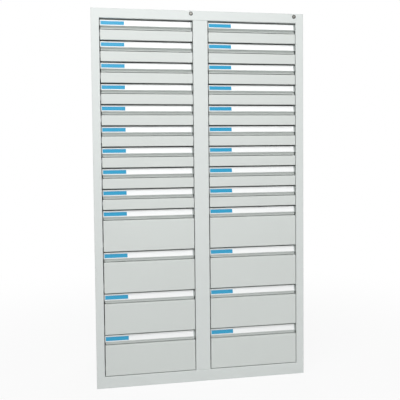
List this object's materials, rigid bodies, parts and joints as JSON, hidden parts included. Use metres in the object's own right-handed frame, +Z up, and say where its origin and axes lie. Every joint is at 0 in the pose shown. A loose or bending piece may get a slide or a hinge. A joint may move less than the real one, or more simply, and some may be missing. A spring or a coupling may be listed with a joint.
{
  "type": "parts cabinet with drawers",
  "caption": "Free-standing steel parts cabinet: two columns of shallow and deep drawers with sloped label grips, each column locked by a key cylinder.",
  "frame": {"origin": "centre of the base, on the floor", "axes": "+X to the right seen from the front, +Y to the back, +Z up; the drawers open towards -Y"},
  "size_m": [1.12, 0.5016, 1.95],
  "materials": {
    "cabinet_paint": "light grey powder coat, satin",
    "drawer_paint": "light grey powder coat, satin",
    "grip_label": "light grey profile with white label card and blue index insert",
    "zinc_steel": "zinc-plated steel",
    "lock_chrome": "nickel-plated lock cylinder"
  },
  "bodies": {
    "cabinet": {"carcass": "cabinet_paint", "middle_partition": "cabinet_paint", "back_panel": "cabinet_paint", "runner_channels": "zinc_steel"},
    "lock_cylinder_left": {"lock_cylinder_left": "lock_chrome"},
    "lock_bar_left": {"lock_bar_left": "zinc_steel"},
    "lock_cylinder_right": {"lock_cylinder_right": "lock_chrome"},
    "lock_bar_right": {"lock_bar_right": "zinc_steel"},
    "drawer_left_01": {"drawer_left_01": "drawer_paint", "grip_left_01": "grip_label"},
    "drawer_left_02": {"drawer_left_02": "drawer_paint", "grip_left_02": "grip_label"},
    "drawer_left_03": {"drawer_left_03": "drawer_paint", "grip_left_03": "grip_label"},
    "drawer_left_04": {"drawer_left_04": "drawer_paint", "grip_left_04": "grip_label"},
    "drawer_left_05": {"drawer_left_05": "drawer_paint", "grip_left_05": "grip_label"},
    "drawer_left_06": {"drawer_left_06": "drawer_paint", "grip_left_06": "grip_label"},
    "drawer_left_07": {"drawer_left_07": "drawer_paint", "grip_left_07": "grip_label"},
    "drawer_left_08": {"drawer_left_08": "drawer_paint", "grip_left_08": "grip_label"},
    "drawer_left_09": {"drawer_left_09": "drawer_paint", "grip_left_09": "grip_label"},
    "drawer_left_10": {"drawer_left_10": "drawer_paint", "grip_left_10": "grip_label"},
    "drawer_left_11": {"drawer_left_11": "drawer_paint", "grip_left_11": "grip_label"},
    "drawer_left_12": {"drawer_left_12": "drawer_paint", "grip_left_12": "grip_label"},
    "drawer_left_13": {"drawer_left_13": "drawer_paint", "grip_left_13": "grip_label"},
    "drawer_right_01": {"drawer_right_01": "drawer_paint", "grip_right_01": "grip_label"},
    "drawer_right_02": {"drawer_right_02": "drawer_paint", "grip_right_02": "grip_label"},
    "drawer_right_03": {"drawer_right_03": "drawer_paint", "grip_right_03": "grip_label"},
    "drawer_right_04": {"drawer_right_04": "drawer_paint", "grip_right_04": "grip_label"},
    "drawer_right_05": {"drawer_right_05": "drawer_paint", "grip_right_05": "grip_label"},
    "drawer_right_06": {"drawer_right_06": "drawer_paint", "grip_right_06": "grip_label"},
    "drawer_right_07": {"drawer_right_07": "drawer_paint", "grip_right_07": "grip_label"},
    "drawer_right_08": {"drawer_right_08": "drawer_paint", "grip_right_08": "grip_label"},
    "drawer_right_09": {"drawer_right_09": "drawer_paint", "grip_right_09": "grip_label"},
    "drawer_right_10": {"drawer_right_10": "drawer_paint", "grip_right_10": "grip_label"},
    "drawer_right_11": {"drawer_right_11": "drawer_paint", "grip_right_11": "grip_label"},
    "drawer_right_12": {"drawer_right_12": "drawer_paint", "grip_right_12": "grip_label"},
    "drawer_right_13": {"drawer_right_13": "drawer_paint", "grip_right_13": "grip_label"}
  },
  "joints": [
    {"name": "lock_bar_left_lift", "type": "slide", "parent": "cabinet", "child": "lock_bar_left", "axis": [0, 0, 1], "range_m": [0, 0.012]},
    {"name": "lock_cylinder_left_turn", "type": "hinge", "parent": "cabinet", "child": "lock_cylinder_left", "pos_m": [-0.049, -0.25, 1.935], "axis": [0, -1, 0], "range_deg": [0, 90]},
    {"name": "lock_bar_right_lift", "type": "slide", "parent": "cabinet", "child": "lock_bar_right", "axis": [0, 0, 1], "range_m": [0, 0.012]},
    {"name": "lock_cylinder_right_turn", "type": "hinge", "parent": "cabinet", "child": "lock_cylinder_right", "pos_m": [0.508, -0.25, 1.935], "axis": [0, -1, 0], "range_deg": [0, 90]},
    {"name": "drawer_left_01_slide", "type": "slide", "parent": "cabinet", "child": "drawer_left_01", "axis": [0, -1, 0], "range_m": [0, 0.4]},
    {"name": "drawer_left_02_slide", "type": "slide", "parent": "cabinet", "child": "drawer_left_02", "axis": [0, -1, 0], "range_m": [0, 0.4]},
    {"name": "drawer_left_03_slide", "type": "slide", "parent": "cabinet", "child": "drawer_left_03", "axis": [0, -1, 0], "range_m": [0, 0.4]},
    {"name": "drawer_left_04_slide", "type": "slide", "parent": "cabinet", "child": "drawer_left_04", "axis": [0, -1, 0], "range_m": [0, 0.4]},
    {"name": "drawer_left_05_slide", "type": "slide", "parent": "cabinet", "child": "drawer_left_05", "axis": [0, -1, 0], "range_m": [0, 0.4]},
    {"name": "drawer_left_06_slide", "type": "slide", "parent": "cabinet", "child": "drawer_left_06", "axis": [0, -1, 0], "range_m": [0, 0.4]},
    {"name": "drawer_left_07_slide", "type": "slide", "parent": "cabinet", "child": "drawer_left_07", "axis": [0, -1, 0], "range_m": [0, 0.4]},
    {"name": "drawer_left_08_slide", "type": "slide", "parent": "cabinet", "child": "drawer_left_08", "axis": [0, -1, 0], "range_m": [0, 0.4]},
    {"name": "drawer_left_09_slide", "type": "slide", "parent": "cabinet", "child": "drawer_left_09", "axis": [0, -1, 0], "range_m": [0, 0.4]},
    {"name": "drawer_left_10_slide", "type": "slide", "parent": "cabinet", "child": "drawer_left_10", "axis": [0, -1, 0], "range_m": [0, 0.4]},
    {"name": "drawer_left_11_slide", "type": "slide", "parent": "cabinet", "child": "drawer_left_11", "axis": [0, -1, 0], "range_m": [0, 0.4]},
    {"name": "drawer_left_12_slide", "type": "slide", "parent": "cabinet", "child": "drawer_left_12", "axis": [0, -1, 0], "range_m": [0, 0.4]},
    {"name": "drawer_left_13_slide", "type": "slide", "parent": "cabinet", "child": "drawer_left_13", "axis": [0, -1, 0], "range_m": [0, 0.4]},
    {"name": "drawer_right_01_slide", "type": "slide", "parent": "cabinet", "child": "drawer_right_01", "axis": [0, -1, 0], "range_m": [0, 0.4]},
    {"name": "drawer_right_02_slide", "type": "slide", "parent": "cabinet", "child": "drawer_right_02", "axis": [0, -1, 0], "range_m": [0, 0.4]},
    {"name": "drawer_right_03_slide", "type": "slide", "parent": "cabinet", "child": "drawer_right_03", "axis": [0, -1, 0], "range_m": [0, 0.4]},
    {"name": "drawer_right_04_slide", "type": "slide", "parent": "cabinet", "child": "drawer_right_04", "axis": [0, -1, 0], "range_m": [0, 0.4]},
    {"name": "drawer_right_05_slide", "type": "slide", "parent": "cabinet", "child": "drawer_right_05", "axis": [0, -1, 0], "range_m": [0, 0.4]},
    {"name": "drawer_right_06_slide", "type": "slide", "parent": "cabinet", "child": "drawer_right_06", "axis": [0, -1, 0], "range_m": [0, 0.4]},
    {"name": "drawer_right_07_slide", "type": "slide", "parent": "cabinet", "child": "drawer_right_07", "axis": [0, -1, 0], "range_m": [0, 0.4]},
    {"name": "drawer_right_08_slide", "type": "slide", "parent": "cabinet", "child": "drawer_right_08", "axis": [0, -1, 0], "range_m": [0, 0.4]},
    {"name": "drawer_right_09_slide", "type": "slide", "parent": "cabinet", "child": "drawer_right_09", "axis": [0, -1, 0], "range_m": [0, 0.4]},
    {"name": "drawer_right_10_slide", "type": "slide", "parent": "cabinet", "child": "drawer_right_10", "axis": [0, -1, 0], "range_m": [0, 0.4]},
    {"name": "drawer_right_11_slide", "type": "slide", "parent": "cabinet", "child": "drawer_right_11", "axis": [0, -1, 0], "range_m": [0, 0.4]},
    {"name": "drawer_right_12_slide", "type": "slide", "parent": "cabinet", "child": "drawer_right_12", "axis": [0, -1, 0], "range_m": [0, 0.4]},
    {"name": "drawer_right_13_slide", "type": "slide", "parent": "cabinet", "child": "drawer_right_13", "axis": [0, -1, 0], "range_m": [0, 0.4]}
  ],
  "couplings": [
    {"joint": "lock_cylinder_left_turn", "follows": "lock_bar_left_lift", "rad_per_m": 130.9},
    {"joint": "lock_cylinder_right_turn", "follows": "lock_bar_right_lift", "rad_per_m": 130.9}
  ]
}
